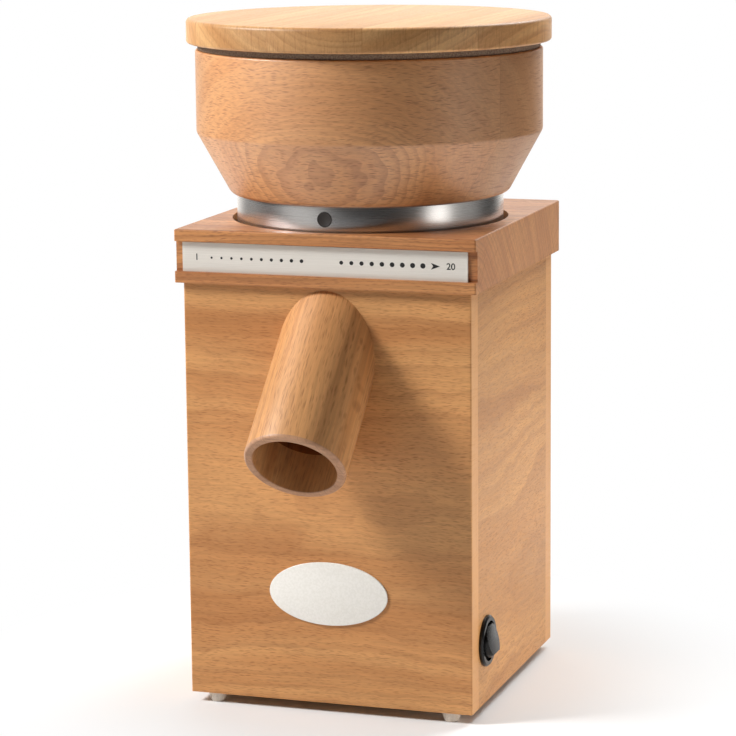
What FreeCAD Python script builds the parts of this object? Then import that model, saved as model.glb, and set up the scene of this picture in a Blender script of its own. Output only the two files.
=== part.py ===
"""Electric grain mill: a beech case with a motor, a pair of stones and a turned hopper.

All sizes are in millimetres. The origin lies on the floor under the axis of the hopper.
+X is to the right, -Y is to the front where the spout is, and +Z is up.
Each sub-part is one STEP file in parts.
"""
import FreeCAD, Part

import math
import os

V = FreeCAD.Vector
Z_AXIS = V(0, 0, 1)

# Case
case_width = 145.0
case_front_y = -70.0
case_back_y = 77.0
case_top_z = 210.5
panel_thick = 11.0
foot_height = 5.0
foot_top_r = 5.0
foot_tip_r = 3.6
foot_x = 60.5
base_thick = 12.0
edge_round = 0.8

# Top board, with the groove of the scale and the recess of the hopper ring
top_thick = 26.0
top_overhang = 3.25
groove_low_z = 216.0
groove_high_z = 230.7
groove_deep = 3.0
recess_r = 68.5
recess_deep = 8.0
nut_body_r = 60.0

# Scale plate and oval plate
scale_x_low = -72.2
scale_x_high = 71.2
scale_height = 14.2
scale_thick = 0.9
oval_width = 60.4
oval_height = 31.4
oval_thick = 0.8
oval_z = 60.1

# Spout
spout_fall = 42.7  # degrees below level
spout_mouth = V(0, -116.5, 132.5)
spout_outer_r = 24.6
spout_bore_r = 20.4
spout_bore_deep = 44.0
spout_throat_r = 17.0
spout_lip = 1.0

# Hopper, ring and lid
bowl_r = 85.5
bowl_foot_r = 68.6
bowl_low_z = 248.8
bowl_shoulder_z = 279.6
bowl_rim_z = 319.7
bowl_wall = 10.0
rim_round = 2.0
throat_r = 24.0
throat_top_z = 254.0
cavity_cone_z = 290.0
ring_r = 66.0
ring_wall = 3.0
ring_low_z = 233.6
ring_web = 2.5
dot_r = 3.75
dot_z = 242.6
dot_turn = -91.1  # degrees, a little left of the front
lid_r = 89.75
lid_thick = 12.0
lid_gap = 3.3
lid_round = 1.8
plug_r = 74.2
plug_deep = 9.0
seal_outer_r = 84.3
seal_inner_r = 78.0

# Thread of the grind setting: plain cylinders, with a running fit
thread_r = 52.0
thread_play = 0.05
sleeve_wall = 5.45
sleeve_low_z = 213.0
nut_top_z = 240.0

# Stones and milling chamber
stone_r = 38.0
stone_gap = 0.72
upper_stone_low_z = 211.0
upper_stone_thick = 18.0
lower_stone_thick = 16.0
stone_eye_r = 15.0
stone_flat_r = 24.0
furrow_count = 10
furrow_wide = 3.2
furrow_deep = 1.3
chamber_inner_r = 46.0
chamber_outer_r = 50.5
chamber_flange_r = 58.7
chamber_low_z = 186.0
chamber_floor = 3.0
chamber_screw_r = 55.2
chute_width = 32.0
chute_half_height = 10.5
chute_wall = 2.2

# Motor
shaft_r = 5.0
shaft_low_z = 44.0
shaft_top_z = 204.0
stator_r = 45.0
stator_bore_r = 25.3
stator_low_z = 84.0
stator_high_z = 150.0
air_gap = 0.4
bearing_r = 13.0
bearing_thick = 9.0
lower_bearing_z = 64.0
upper_bearing_z = 172.0
shield_wall = 3.5
shield_deep = 20.0
post_ring_r = 38.0
tie_ring_r = 40.0
fan_r = 38.0
fan_blades = 8

# Switch
switch_y = -46.0
switch_z = 36.0
bezel_r = 12.6
bezel_thick = 2.0
barrel_r = 10.9
barrel_deep = 22.0
well_r = 9.9
rocker_r = 8.7
rocker_tip = 6.9
rocker_rise = 4.2
rocker_tilt = 15.0
rocker_pivot_x = 72.1
rocker_pin_r = 1.2

# Cable inlet
gland_x = 30.0
gland_z = 42.0
gland_bore_r = 3.6
gland_r = 7.8

# Places worked out from the sizes above
half_width = case_width / 2
inner_x = half_width - panel_thick
inner_front_y = case_front_y + panel_thick
inner_back_y = case_back_y - panel_thick
case_low_z = foot_height
top_z = case_top_z + top_thick
top_front_y = case_front_y - top_overhang
recess_z = top_z - recess_deep
web_z = bowl_low_z - ring_web
lid_low_z = bowl_rim_z + lid_gap
fall = math.radians(spout_fall)
spout_out = V(0, -math.cos(fall), -math.sin(fall))
panel_mid_front_y = case_front_y + panel_thick / 2
panel_mid_back_y = case_back_y - panel_thick / 2
lower_stone_high_z = upper_stone_low_z - stone_gap
lower_stone_low_z = lower_stone_high_z - lower_stone_thick
chamber_floor_z = chamber_low_z + chamber_floor


def box(x0, x1, y0, y1, z0, z1):
    """A block between two corners."""
    return Part.makeBox(x1 - x0, y1 - y0, z1 - z0, V(x0, y0, z0))


def rod(r, z0, z1, x=0.0, y=0.0):
    """An upright cylinder."""
    return Part.makeCylinder(r, z1 - z0, V(x, y, z0), Z_AXIS)


def tube(outer_r, inner_r, z0, z1, x=0.0, y=0.0):
    """An upright tube."""
    return rod(outer_r, z0, z1, x, y).cut(rod(inner_r, z0 - 1, z1 + 1, x, y))


def outline(start, steps):
    """A closed outline in the plane y = 0. A step is a point, or a middle and an end for an arc."""
    edges = []
    here = V(start[0], 0, start[1])
    for step in list(steps) + [start]:
        if isinstance(step[0], tuple):
            middle = V(step[0][0], 0, step[0][1])
            end = V(step[1][0], 0, step[1][1])
            edges.append(Part.Arc(here, middle, end).toShape())
        else:
            end = V(step[0], 0, step[1])
            edges.append(Part.LineSegment(here, end).toShape())
        here = end
    return Part.Face(Part.Wire(edges))


def turned(start, *steps):
    """A solid turned on the Z axis from an outline of radius and height."""
    return outline(start, steps).revolve(V(0, 0, 0), Z_AXIS, 360)


def round_out(r, size, z=0.0):
    """The middle and end of an arc that rounds a lower outer edge, from the flat face to the side."""
    slack = size * (1 - math.sqrt(0.5))
    return ((r - slack, z + slack), (r, z + size))


def round_in(r, size, z):
    """The middle and end of an arc that rounds an upper outer edge, from the side to the flat face."""
    slack = size * (1 - math.sqrt(0.5))
    return ((r - slack, z - slack), (r - size, z))


def around(shape, count, first=0.0):
    """Copies of a shape, evenly spaced round the Z axis."""
    copies = []
    for i in range(count):
        copy = shape.copy()
        copy.rotate(V(0, 0, 0), Z_AXIS, first + i * 360.0 / count)
        copies.append(copy)
    return copies


def joined(shapes):
    """Shapes fused into one solid."""
    whole = shapes[0]
    for shape in shapes[1:]:
        whole = whole.fuse(shape)
    return whole.removeSplitter()


def without(shape, tools):
    """A shape with each tool cut away."""
    for tool in tools:
        shape = shape.cut(tool)
    return shape


def screw(x, y, head_z, length, r=1.6, up=True):
    """A countersunk screw that starts with its head at head_z and runs up or down."""
    way = 1 if up else -1
    head_r = 2 * r
    cone = Part.makeCone(head_r, r, head_r - r, V(x, y, head_z), V(0, 0, way))
    slot = Part.makeBox(head_r * 1.3, 0.7, 0.8)
    slot.translate(V(x - head_r * 0.65, y - 0.35, head_z if up else head_z - 0.8))
    shank = Part.makeCylinder(r, length, V(x, y, head_z), V(0, 0, way))
    return cone.fuse(shank).removeSplitter(), slot


def slotted(screws):
    """Screws with their driver slots cut, as separate solids in one group."""
    return Part.makeCompound([body.cut(slot) for body, slot in screws])


def bodies_of(screws):
    """Screws without driver slots, for cutting their holes."""
    return [body for body, slot in screws]


def polar(r, degrees):
    """A point on a circle round the Z axis."""
    turn = math.radians(degrees)
    return r * math.cos(turn), r * math.sin(turn)


def vertical_edges(shape, wanted):
    """The upright straight edges of a shape whose place passes a test."""
    found = []
    for edge in shape.Edges:
        low, high = edge.Vertexes[0].Point, edge.Vertexes[-1].Point
        if abs(low.x - high.x) < 1e-6 and abs(low.y - high.y) < 1e-6 and wanted(low):
            found.append(edge)
    return found


def chute_block(width, half_height, y_in, y_out):
    """A slanted duct that follows the spout's axis, between two upright planes."""
    slope = math.tan(fall)

    def centre_z(y):
        return spout_mouth.z + (y - spout_mouth.y) * slope

    corners = [
        V(-width / 2, y_in, centre_z(y_in) - half_height),
        V(-width / 2, y_in, centre_z(y_in) + half_height),
        V(-width / 2, y_out, centre_z(y_out) + half_height),
        V(-width / 2, y_out, centre_z(y_out) - half_height),
    ]
    face = Part.Face(Part.makePolygon(corners + corners[:1]))
    return face.extrude(V(width, 0, 0))


def furrows(face_z, way, lean):
    """Slanted V cuts across the grinding face of a stone."""
    length = 2 * stone_r
    ridge = [
        V(0, -furrow_wide / 2, 0),
        V(0, furrow_wide / 2, 0),
        V(0, furrow_wide / 4, -way * furrow_deep),
    ]
    cut = Part.Face(Part.makePolygon(ridge + ridge[:1])).extrude(V(length, 0, 0))
    cut.rotate(V(0, 0, 0), Z_AXIS, lean)
    cut.translate(V(*polar(stone_eye_r - 2, 0), face_z))
    return around(cut, furrow_count)


def make_case_panels():
    """Four panels. The front and the back cover the ends of the sides."""
    fall_hole = chute_block(chute_width + 0.6, chute_half_height + 0.3, inner_front_y + 1, case_front_y - 1)
    front = box(-half_width, half_width, case_front_y, inner_front_y, case_low_z, case_top_z)
    front = front.makeFillet(edge_round, vertical_edges(front, lambda p: p.y < case_front_y + 1))
    back = box(-half_width, half_width, inner_back_y, case_back_y, case_low_z, case_top_z)
    back = back.makeFillet(edge_round, vertical_edges(back, lambda p: p.y > case_back_y - 1))
    back = back.cut(gland_bore(gland_r))
    left = box(-half_width, -inner_x, inner_front_y, inner_back_y, case_low_z, case_top_z)
    right = box(inner_x, half_width, inner_front_y, inner_back_y, case_low_z, case_top_z)
    right = right.cut(switch_rod(barrel_r, inner_x - 1, half_width + 1))
    return {
        "front_panel": without(front, [fall_hole] + foot_pegs(panel_mid_front_y)),
        "back_panel": without(back, foot_pegs(panel_mid_back_y)),
        "left_panel": left,
        "right_panel": right,
    }


def foot_pegs(y):
    """The pegs of the two feet under one panel."""
    return [rod(2.0, case_low_z - 1, case_low_z + 9, side * foot_x, y) for side in (-1, 1)]


def make_feet():
    """Four tapered buffers, each with a peg in the panel above."""
    feet = {}
    rows = (("front", panel_mid_front_y), ("back", panel_mid_back_y))
    for side, way in (("left", -1), ("right", 1)):
        for row, y in rows:
            taper = turned(
                (0, 0), (foot_tip_r - 0.5, 0), (foot_tip_r, 0.5),
                (foot_top_r, foot_height), (2.0, foot_height), (2.0, foot_height + 8), (0, foot_height + 8))
            taper.translate(V(way * foot_x, y, 0))
            feet[f"foot_{row}_{side}"] = taper
    return feet


def base_screws():
    """Four screws that hold the base board to the cleats."""
    places = [(x, y) for x in (-34, 34) for y in (inner_front_y + 5, inner_back_y - 5)]
    return [screw(x, y, case_low_z, 20.0, 1.75) for x, y in places]


def make_base():
    """The base board with its air slots, the cleats that hold it and the screws."""
    board = box(-inner_x, inner_x, inner_front_y, inner_back_y, case_low_z, case_low_z + base_thick)
    slots = []
    for i in range(-4, 5):
        slot = box(-24, 24, i * 9 - 2, i * 9 + 2, case_low_z - 1, case_low_z + base_thick + 1)
        ends = [rod(2, case_low_z - 1, case_low_z + base_thick + 1, x, i * 9) for x in (-24, 24)]
        slots.append(joined([slot] + ends))
    screws = base_screws()
    board = without(board, slots + bodies_of(screws))
    low = case_low_z + base_thick
    cleats = {
        "front_cleat": box(-48, 48, inner_front_y, inner_front_y + 10, low, low + 12),
        "back_cleat": box(-48, 48, inner_back_y - 10, inner_back_y, low, low + 12),
    }
    made = {name: without(cleat, bodies_of(screws)) for name, cleat in cleats.items()}
    made["base_board"] = board
    made["base_screws"] = slotted(screws)
    return made


def make_top_board():
    """The thick top board, with a groove across its front and a recess for the hopper ring."""
    board = box(-half_width - top_overhang, half_width + top_overhang, top_front_y,
                case_back_y + top_overhang, case_top_z, top_z)
    rim = [e for e in board.Edges if abs(e.CenterOfMass.z - top_z) < 1e-6]
    board = board.makeFillet(edge_round, rim + vertical_edges(board, lambda p: True))
    groove = box(-case_width, case_width, top_front_y - 1, top_front_y + groove_deep, groove_low_z, groove_high_z)
    return without(board, [
        groove,
        rod(recess_r, recess_z, top_z + 1),
        rod(nut_body_r, case_top_z - 1, top_z),
    ])


def make_plates():
    """The long plate in the groove and the oval plate on the front, both with nothing on them."""
    floor_y = top_front_y + groove_deep
    scale = box(scale_x_low, scale_x_high, floor_y - scale_thick, floor_y, groove_low_z, groove_low_z + scale_height)
    ellipse = Part.Ellipse(V(0, 0, 0), oval_width / 2, oval_height / 2)
    oval = Part.Face(Part.Wire(ellipse.toShape())).extrude(V(0, 0, oval_thick))
    oval.rotate(V(0, 0, 0), V(1, 0, 0), 90)
    oval.translate(V(0, case_front_y, oval_z))
    return {"scale_plate": scale, "oval_plate": oval}


def make_spout():
    """A slanted wooden tube, cut to lie flat on the front panel, with an eased mouth."""
    reach = 160.0
    pipe = turned(
        (spout_bore_r + spout_lip, 0), (spout_outer_r - 1.2, 0), round_out(spout_outer_r, 1.2),
        (spout_outer_r, reach), (spout_throat_r, reach), (spout_throat_r, spout_bore_deep),
        (spout_bore_r, spout_bore_deep), (spout_bore_r, spout_lip))
    pipe.Placement = FreeCAD.Placement(spout_mouth, FreeCAD.Rotation(Z_AXIS, spout_out.negative()))
    behind = box(-100, 100, case_front_y, case_front_y + 300, -100, 500)
    return pipe.cut(behind)


def make_thread_ring():
    """The ring in the top board that holds the female thread, with a flange in the recess."""
    ring = turned(
        (thread_r, case_top_z), (nut_body_r, case_top_z), (nut_body_r, recess_z),
        (recess_r - 0.6, recess_z), (recess_r - 0.6, recess_z + 3), (thread_r + 5, recess_z + 3),
        (thread_r + 5, nut_top_z), (thread_r, nut_top_z))
    return without(ring, bodies_of(chamber_screws()))


def make_hopper():
    """The bowl, its metal ring with the round dot, the sleeve and the holder of the upper stone."""
    cavity_r = bowl_r - bowl_wall
    bowl = turned(
        (throat_r, bowl_low_z), (bowl_foot_r - 2.4, bowl_low_z), (bowl_foot_r, bowl_low_z + 2.7),
        (bowl_r, bowl_shoulder_z), (bowl_r, bowl_rim_z - rim_round), round_in(bowl_r, rim_round, bowl_rim_z),
        (cavity_r + 1.5, bowl_rim_z), (cavity_r, bowl_rim_z - 1.5),
        (cavity_r, cavity_cone_z), (throat_r, throat_top_z))
    ring = turned(
        (throat_r + 2, web_z), (ring_r - ring_wall, web_z), (ring_r - ring_wall, ring_low_z),
        (ring_r - 0.5, ring_low_z), (ring_r, ring_low_z + 0.5), (ring_r, bowl_low_z), (throat_r + 2, bowl_low_z))
    dot = Part.makeCylinder(dot_r, ring_wall + 1, V(ring_r - ring_wall - 0.6, 0, dot_z), V(1, 0, 0))
    dot.rotate(V(0, 0, 0), Z_AXIS, dot_turn)
    sleeve = tube(thread_r - thread_play, thread_r - sleeve_wall, sleeve_low_z, web_z)
    stone_top = upper_stone_low_z + upper_stone_thick
    holder = turned(
        (throat_r, web_z), (thread_r - sleeve_wall - 0.7, web_z), (thread_r - sleeve_wall - 0.7, web_z - 3),
        (throat_r + 7, web_z - 3), (stone_eye_r + 6, stone_top + 3.5), (stone_r + 3, stone_top + 3.5),
        (stone_r + 3, stone_top - 8), (stone_r, stone_top - 8), (stone_r, stone_top),
        (stone_eye_r, stone_top))
    screws = [screw(*polar(36, turn), web_z - 3, 13.0) for turn in (45, 135, 225, 315)]
    holes = bodies_of(screws)
    return {
        "hopper_bowl": without(bowl, holes),
        "index_ring": without(ring, holes + [dot]),
        "index_dot": dot,
        "threaded_sleeve": sleeve,
        "stone_holder": without(holder, holes),
        "holder_screws": slotted(screws),
    }


def make_lid():
    """The flat lid, the step under it that drops into the bowl and the seal between them."""
    top = lid_low_z + lid_thick
    disc = turned(
        (0, lid_low_z), (lid_r - 1, lid_low_z), (lid_r, lid_low_z + 1),
        (lid_r, top - lid_round), round_in(lid_r, lid_round, top), (0, top))
    plug = turned(
        (0, lid_low_z - plug_deep), (plug_r - 1.5, lid_low_z - plug_deep),
        (plug_r, lid_low_z - plug_deep + 1.5), (plug_r, lid_low_z), (0, lid_low_z))
    seal = tube(seal_outer_r, seal_inner_r, bowl_rim_z, lid_low_z)
    return {"lid_disc": disc, "lid_step": plug, "lid_seal": seal}


def make_stones():
    """The furrowed pair: the upper stone hangs in the hopper and the lower one turns."""
    low = upper_stone_low_z
    upper = turned(
        (stone_eye_r, low + 4), (stone_flat_r, low), (stone_r - 0.8, low), (stone_r, low + 0.8),
        (stone_r, low + upper_stone_thick), (stone_eye_r, low + upper_stone_thick))
    high = lower_stone_high_z
    lower = turned(
        (6.0, lower_stone_low_z), (stone_r, lower_stone_low_z), (stone_r, high - 0.8), (stone_r - 0.8, high),
        (stone_flat_r, high), (13.0, high - 4), (6.0, high - 4))
    return {
        "upper_stone": without(upper, furrows(low, -1, 28.0)),
        "lower_stone": without(lower, furrows(high, 1, 28.0)),
    }


def make_carrier():
    """The winged disc under the lower stone that sweeps the flour to the chute, and its nut."""
    plate_low = chamber_floor_z + 1.6
    hub_top = lower_stone_high_z - 4
    hub = tube(6.0, shaft_r, plate_low, hub_top)
    plate = tube(stone_r - 5, shaft_r, plate_low, lower_stone_low_z)
    wing = box(stone_r - 7, chamber_inner_r - 1.0, -1.4, 1.4, plate_low - 0.8, lower_stone_low_z + 5)
    wing = wing.cut(rod(stone_r + 0.3, lower_stone_low_z, lower_stone_low_z + 6))
    carrier = joined([hub, plate] + around(wing, 6))
    nut = Part.Face(Part.makePolygon([V(*polar(8.0, 60 * i), hub_top) for i in range(7)])).extrude(V(0, 0, 4.5))
    nut = nut.cut(rod(shaft_r - 1, hub_top - 1, hub_top + 3))
    return {"stone_carrier": carrier, "carrier_nut": nut}


def chamber_screws():
    """Four screws that hang the milling chamber under the thread ring."""
    return [screw(*polar(chamber_screw_r, turn), case_top_z - 4, 16.0, 1.3) for turn in (30, 150, 210, 330)]


def motor_screws():
    """Four screws through the chamber floor into the posts of the motor."""
    return [screw(*polar(post_ring_r, turn), chamber_floor_z, 14.0, 1.5, up=False) for turn in (45, 135, 225, 315)]


def make_chamber():
    """The round milling chamber with its sloping outlet, hung under the thread ring."""
    bowl = turned(
        (9.0, chamber_low_z), (chamber_outer_r, chamber_low_z), (chamber_outer_r, case_top_z - 4),
        (chamber_flange_r, case_top_z - 4), (chamber_flange_r, case_top_z), (chamber_inner_r, case_top_z),
        (chamber_inner_r, chamber_floor_z), (9.0, chamber_floor_z))
    chute = chute_block(chute_width, chute_half_height, -chamber_inner_r + 8, case_front_y + 3)
    chute = chute.cut(rod(chamber_inner_r, chamber_low_z - 40, case_top_z + 30))
    duct = chute_block(chute_width - 2 * chute_wall, chute_half_height - chute_wall, -chamber_inner_r + 12,
                       case_front_y - 5)
    above = box(-60, 60, -80, 0, case_top_z - 0.01, case_top_z + 40)
    body = bowl.fuse(chute.cut(above)).removeSplitter()
    holes = bodies_of(chamber_screws()) + bodies_of(motor_screws())
    seal = tube(9.0, shaft_r + 0.35, chamber_low_z, chamber_floor_z + 0.6)
    return {
        "milling_chamber": without(body, [duct] + holes),
        "chamber_screws": slotted(chamber_screws()),
        "motor_screws": slotted(motor_screws()),
        "shaft_seal": seal,
    }


def tie_rods(r):
    """Four rods from one end shield to the other."""
    low = stator_low_z - shield_deep
    high = stator_high_z + shield_deep
    return [rod(r, low - 2.5, high + 2.5, *polar(tie_ring_r, turn)) for turn in (0, 90, 180, 270)]


def make_end_shield(plate_z, inward):
    """A cup that closes one end of the motor. Inward is the way to the windings, 1 or -1."""
    open_z = plate_z + inward * shield_deep
    low, high = sorted((plate_z, open_z))
    cup = tube(stator_r, stator_r - shield_wall, low, high)
    plate_low, plate_high = sorted((plate_z, plate_z + inward * shield_wall))
    plate = rod(stator_r, plate_low, plate_high)
    bearing_low = lower_bearing_z if inward > 0 else upper_bearing_z
    boss_low = min(plate_low, bearing_low)
    boss_high = max(plate_high, bearing_low + bearing_thick)
    boss = rod(bearing_r + 3, boss_low, boss_high)
    lugs = [rod(4.5, low, high, *polar(tie_ring_r, turn)) for turn in (0, 90, 180, 270)]
    windows = [box(20, 34, -4, 4, plate_low - 1, plate_high + 1)]
    slots = around(windows[0], 8, 22.5)
    shield = joined([cup, plate, boss] + lugs)
    bore = rod(bearing_r, bearing_low, bearing_low + bearing_thick)
    way_through = rod(shaft_r + 3.5, low - 20, high + 20)
    return without(shield, slots + [bore, way_through] + tie_rods(2.0))


def make_motor():
    """The motor: core, windings, end shields, bearings, shaft, rotor and fan."""
    core = tube(stator_r, stator_bore_r, stator_low_z, stator_high_z)
    slot = box(stator_bore_r - 1, stator_bore_r + 9, -1.5, 1.5, stator_low_z - 1, stator_high_z + 1)
    core = without(core, around(slot, 12, 15.0) + tie_rods(2.0))
    coils = []
    for way, z in ((-1, stator_low_z), (1, stator_high_z)):
        coils.append(turned(
            (27.0, z), (27.0, z + way * 9), (28.8, z + way * 12), (31.6, z + way * 12), (33.6, z + way * 9),
            (34.5, z)))
    upper = make_end_shield(stator_high_z + shield_deep, -1)
    posts = [rod(5.0, stator_high_z + shield_deep - shield_wall, chamber_low_z, *polar(post_ring_r, turn))
             for turn in (45, 135, 225, 315)]
    upper = without(joined([upper] + posts), bodies_of(motor_screws()))
    shaft = turned(
        (0, shaft_low_z), (shaft_r - 0.5, shaft_low_z), (shaft_r, shaft_low_z + 0.5),
        (shaft_r, lower_bearing_z + bearing_thick + 1), (shaft_r + 2.5, lower_bearing_z + bearing_thick + 1),
        (shaft_r + 2.5, upper_bearing_z - 1), (shaft_r, upper_bearing_z - 1), (shaft_r, shaft_top_z),
        (shaft_r - 1, shaft_top_z + 1), (shaft_r - 1, shaft_top_z + 5), (0, shaft_top_z + 5))
    rotor = tube(stator_bore_r - air_gap, shaft_r + 2.5, stator_low_z - 2, stator_high_z + 2)
    return {
        "stator_core": core,
        "stator_windings": Part.makeCompound(coils),
        "upper_end_shield": upper,
        "lower_end_shield": make_end_shield(stator_low_z - shield_deep, 1),
        "upper_bearing": make_bearing(upper_bearing_z),
        "lower_bearing": make_bearing(lower_bearing_z),
        "tie_rods": Part.makeCompound(tie_rods(2.0)),
        "motor_shaft": shaft,
        "rotor_core": rotor,
        "cooling_fan": make_fan(),
    }


def make_bearing(z):
    """A shielded ball bearing, with the step between its two rings."""
    high = z + bearing_thick
    inner = shaft_r + 0.05
    return turned(
        (inner, z), (inner + 2.2, z), (inner + 2.2, z + 0.6), (bearing_r - 2.2, z + 0.6), (bearing_r - 2.2, z),
        (bearing_r, z), (bearing_r, high), (bearing_r - 2.2, high), (bearing_r - 2.2, high - 0.6),
        (inner + 2.2, high - 0.6), (inner + 2.2, high), (inner, high))


def make_fan():
    """The cooling fan on the lower end of the shaft."""
    low = shaft_low_z + 2
    plate_z = low + 11
    hub = tube(9.0, shaft_r, low, plate_z + 1.5)
    plate = tube(fan_r, shaft_r, plate_z, plate_z + 1.5)
    blade = box(10, fan_r - 1, -0.8, 0.8, low + 2, plate_z)
    blade.rotate(V(10, 0, 0), Z_AXIS, 18)
    return joined([hub, plate] + around(blade, fan_blades))


def make_electrics():
    """The run capacitor with its clip, the terminal block and the gland of the mains lead."""
    cap_x, cap_y, cap_r = -43.5, 48.0, 15.0
    can = rod(cap_r, 62, 122, cap_x, cap_y)
    can = can.makeChamfer(1.2, [e for e in can.Edges if len(e.Vertexes) == 1])
    tabs = [box(cap_x - 5, cap_x - 2, cap_y + s - 0.4, cap_y + s + 0.4, 121, 130) for s in (-4, 4)]
    clip = tube(cap_r + 1.2, cap_r, 84, 98, cap_x, cap_y)
    foot = box(-inner_x, cap_x - cap_r + 1.5, cap_y - 9, cap_y + 9, 84, 98).cut(rod(cap_r, 80, 100, cap_x, cap_y))
    block = box(inner_x - 12, inner_x, 20, 56, 62, 76)
    wells = [Part.makeCylinder(2.6, 6, V(inner_x - 12, 25 + 8.6 * i, 69), V(1, 0, 0)) for i in range(4)]
    heads = [Part.makeCylinder(2.2, 3, V(inner_x - 9, 25 + 8.6 * i, 69), V(1, 0, 0)) for i in range(4)]
    return {
        "capacitor": joined([can] + tabs),
        "capacitor_clip": clip.fuse(foot).removeSplitter(),
        "terminal_block": without(block, wells),
        "terminal_screws": Part.makeCompound(heads),
        "cable_gland": make_gland(),
        "gland_nut": gland_hex(11.0, inner_back_y - 5, inner_back_y).cut(gland_bore(gland_r)),
    }


def gland_bore(r):
    """A rod along the gland's axis, through the back panel."""
    return Part.makeCylinder(r, 60, V(gland_x, case_back_y - 30, gland_z), V(0, 1, 0))


def gland_hex(r, y0, y1):
    """A six-sided collar on the gland's axis."""
    ring = [V(gland_x + r * math.cos(math.radians(60 * i)), y0, gland_z + r * math.sin(math.radians(60 * i)))
            for i in range(7)]
    return Part.Face(Part.makePolygon(ring)).extrude(V(0, y1 - y0, 0))


def make_gland():
    """The empty cable gland: a hexagon, a domed cap and a threaded stem through the back panel."""
    inner_y = inner_back_y - 7
    stem = Part.makeCylinder(gland_r, case_back_y - inner_y, V(gland_x, inner_y, gland_z), V(0, 1, 0))
    collar = gland_hex(11.0, case_back_y, case_back_y + 4)
    cap = Part.makeCone(9.6, 6.6, 7.0, V(gland_x, case_back_y + 4, gland_z), V(0, 1, 0))
    return joined([stem, collar, cap]).cut(gland_bore(gland_bore_r))


def switch_rod(r, x0, x1):
    """A level cylinder on the switch's axis."""
    return Part.makeCylinder(r, x1 - x0, V(x0, switch_y, switch_z), V(1, 0, 0))


def make_switch():
    """The round rocker switch: body with bezel, rocker on its pins, spring clip and blades."""
    back_x = half_width - barrel_deep
    face_x = half_width + bezel_thick
    bezel = switch_rod(bezel_r, half_width, face_x)
    bezel = bezel.makeChamfer(0.8, [e for e in bezel.Edges if abs(e.CenterOfMass.x - face_x) < 1e-6
                                    and len(e.Vertexes) == 1])
    pins = Part.makeCylinder(rocker_pin_r, 20.8, V(rocker_pivot_x, switch_y - 10.4, switch_z), V(0, 1, 0))
    pin_holes = Part.makeCylinder(rocker_pin_r + 0.05, 21.2, V(rocker_pivot_x, switch_y - 10.6, switch_z), V(0, 1, 0))
    body = without(joined([bezel, switch_rod(barrel_r, back_x, half_width)]),
                   [switch_rod(well_r, rocker_pivot_x - 8.5, face_x + 1), pin_holes])
    tip, rise = rocker_tip, rocker_rise
    face = outline((-tip, rise), [
        (tip, rise), (rocker_r - 0.9, rise - 2.0), (rocker_r + 0.3, 1.0), (rocker_r - 1.1, -3.6),
        (1.1 - rocker_r, -3.6), (-rocker_r - 0.3, 1.0), (0.9 - rocker_r, rise - 2.0)])
    rocker = face.extrude(V(0, 2 * well_r, 0))
    rocker.translate(V(0, -well_r, 0))
    rocker = rocker.common(Part.makeCylinder(rocker_r, 30, V(0, 0, -15), Z_AXIS))
    rocker.rotate(V(0, 0, 0), V(0, 1, 0), -rocker_tilt)
    rocker.rotate(V(0, 0, 0), V(0, 1, 0), 90)
    rocker.translate(V(rocker_pivot_x, switch_y, switch_z))
    clip = switch_rod(12.8, inner_x - 3, inner_x).cut(switch_rod(barrel_r, inner_x - 4, inner_x + 1))
    blades = [box(back_x - 8, back_x, switch_y + s - 3, switch_y + s + 3, switch_z - 0.4, switch_z + 0.4)
              for s in (-5, 5)]
    return {
        "switch_body": body,
        "switch_rocker": rocker.fuse(pins).removeSplitter(),
        "switch_clip": clip,
        "switch_blades": Part.makeCompound(blades),
    }


def write_parts(parts):
    """Write each sub-part, and say what it is made of."""
    os.makedirs("parts", exist_ok=True)
    for name, shape in parts.items():
        shape.exportStep(f"parts/{name}.step")
        valid = all(solid.isValid() and solid.isClosed() for solid in shape.Solids)
        note = "" if valid and shape.Solids else "  NOT A CLOSED SOLID"
        print(f"{name:18s} solids {len(shape.Solids):2d} volume {shape.Volume:10.1f}{note}")


def main():
    parts = {}
    for made in (make_case_panels(), make_feet(), make_base(), make_plates(), make_hopper(), make_lid(),
                 make_stones(), make_carrier(), make_chamber(), make_motor(), make_electrics(), make_switch()):
        parts.update(made)
    parts["top_board"] = make_top_board()
    parts["spout"] = make_spout()
    parts["thread_ring"] = make_thread_ring()
    write_parts(parts)


main()
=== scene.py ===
"""The looks of the beech grain mill: turned and glued beech, satin metal, stone and black plastic.

Everything is in metres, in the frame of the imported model: +X right, -Y front, +Z up. The outlines of the
pieces are drawn in millimetres, and become metres as their meshes are made.
"""
import math

import bmesh
import bpy
from mathutils import Matrix, Vector


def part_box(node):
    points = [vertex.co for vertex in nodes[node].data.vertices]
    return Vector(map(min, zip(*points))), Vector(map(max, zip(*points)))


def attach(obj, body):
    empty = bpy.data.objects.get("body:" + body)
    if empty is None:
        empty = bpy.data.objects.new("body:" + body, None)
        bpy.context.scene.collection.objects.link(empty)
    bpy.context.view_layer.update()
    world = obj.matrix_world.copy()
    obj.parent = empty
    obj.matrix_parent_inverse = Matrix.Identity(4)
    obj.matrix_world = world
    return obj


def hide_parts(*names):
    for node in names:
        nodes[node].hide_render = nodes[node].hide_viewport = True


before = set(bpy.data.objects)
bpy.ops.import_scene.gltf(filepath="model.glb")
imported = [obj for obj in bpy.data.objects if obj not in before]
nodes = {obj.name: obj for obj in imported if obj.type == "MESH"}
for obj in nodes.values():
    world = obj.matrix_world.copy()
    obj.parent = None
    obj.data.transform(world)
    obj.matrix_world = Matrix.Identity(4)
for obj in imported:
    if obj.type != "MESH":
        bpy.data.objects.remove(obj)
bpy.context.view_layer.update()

MM = 0.001

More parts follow.
